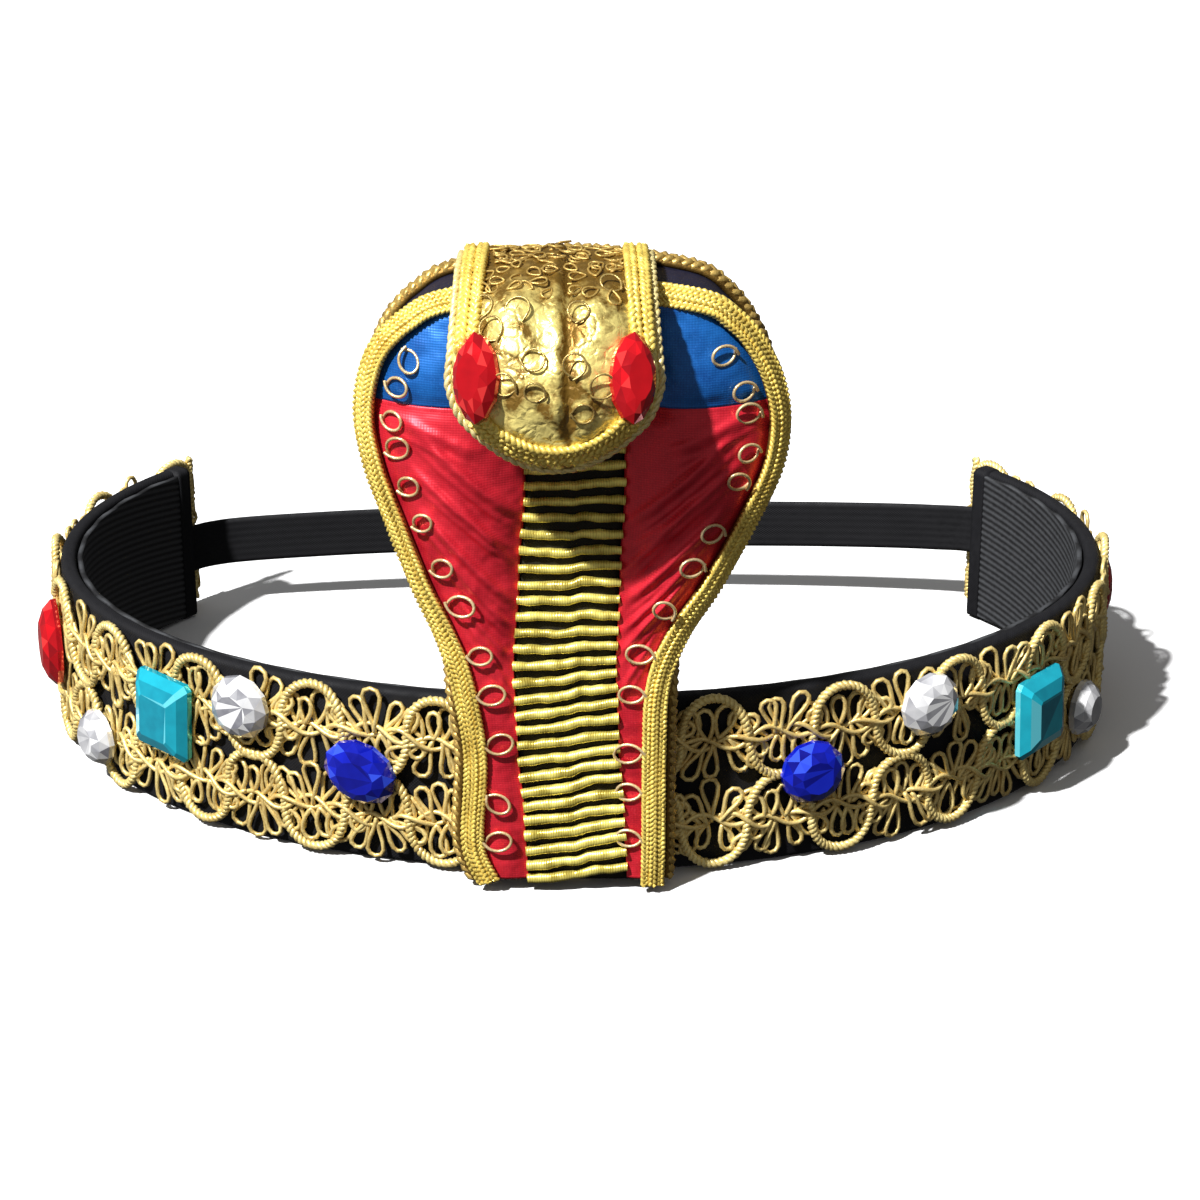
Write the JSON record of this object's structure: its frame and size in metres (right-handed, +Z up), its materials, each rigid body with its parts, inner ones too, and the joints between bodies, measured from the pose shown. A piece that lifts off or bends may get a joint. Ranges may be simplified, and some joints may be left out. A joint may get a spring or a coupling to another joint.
{
  "type": "snake headband",
  "caption": "Costume headband: open fabric band with gold scroll lace and flat-back stones, elastic at the back, padded cobra with spread hood rising at the front.",
  "frame": {"origin": "centre of the footprint box, at the height of the floor that the band's lower edge stands on", "axes": "+Z up, -Y to the front where the cobra faces, +X to the right seen from the front"},
  "size_m": [0.1786, 0.1358, 0.0951],
  "materials": {
    "band_fabric": "black woven cloth over a stiffener",
    "lining_ribbon": "charcoal grosgrain ribbon with fine ribs",
    "elastic": "black woven elastic",
    "gold_lace": "gold metallic gimp cord",
    "blue_stone": "foil-backed faceted acrylic",
    "clear_stone": "foil-backed faceted acrylic",
    "turquoise_stone": "foil-backed step-cut acrylic",
    "red_stone": "foil-backed faceted acrylic",
    "hood_fabric": "dark cloth over wadding",
    "red_cloth": "red metallic woven cloth",
    "blue_cloth": "blue metallic woven cloth",
    "gold_pleats": "gold metallic pleats on black",
    "gold_braid": "plaited gold metallic braid",
    "gold_cloth": "gold foil cloth over wadding",
    "gold_cord": "pale gold twisted cord"
  },
  "bodies": {
    "root": {"band": "band_fabric", "band_lining": "lining_ribbon", "elastic_strap": "elastic", "lace_lower": "gold_lace", "lace_upper": "gold_lace", "blue_stone_left": "blue_stone", "blue_stone_right": "blue_stone", "clear_stone_upper_left": "clear_stone", "clear_stone_upper_right": "clear_stone", "turquoise_stone_left": "turquoise_stone", "turquoise_stone_right": "turquoise_stone", "clear_stone_lower_left": "clear_stone", "clear_stone_lower_right": "clear_stone", "red_stone_left": "red_stone", "red_stone_right": "red_stone", "hood_pad": "hood_fabric", "hood_red_left": "red_cloth", "hood_red_right": "red_cloth", "hood_blue_left": "blue_cloth", "hood_blue_right": "blue_cloth", "belly_strip": "gold_pleats", "hood_braid": "gold_braid", "hood_rear_braid": "gold_braid", "head_pad": "gold_cloth", "head_trim": "gold_cord", "eye_left": "red_stone", "eye_right": "red_stone"}
  },
  "joints": []
}
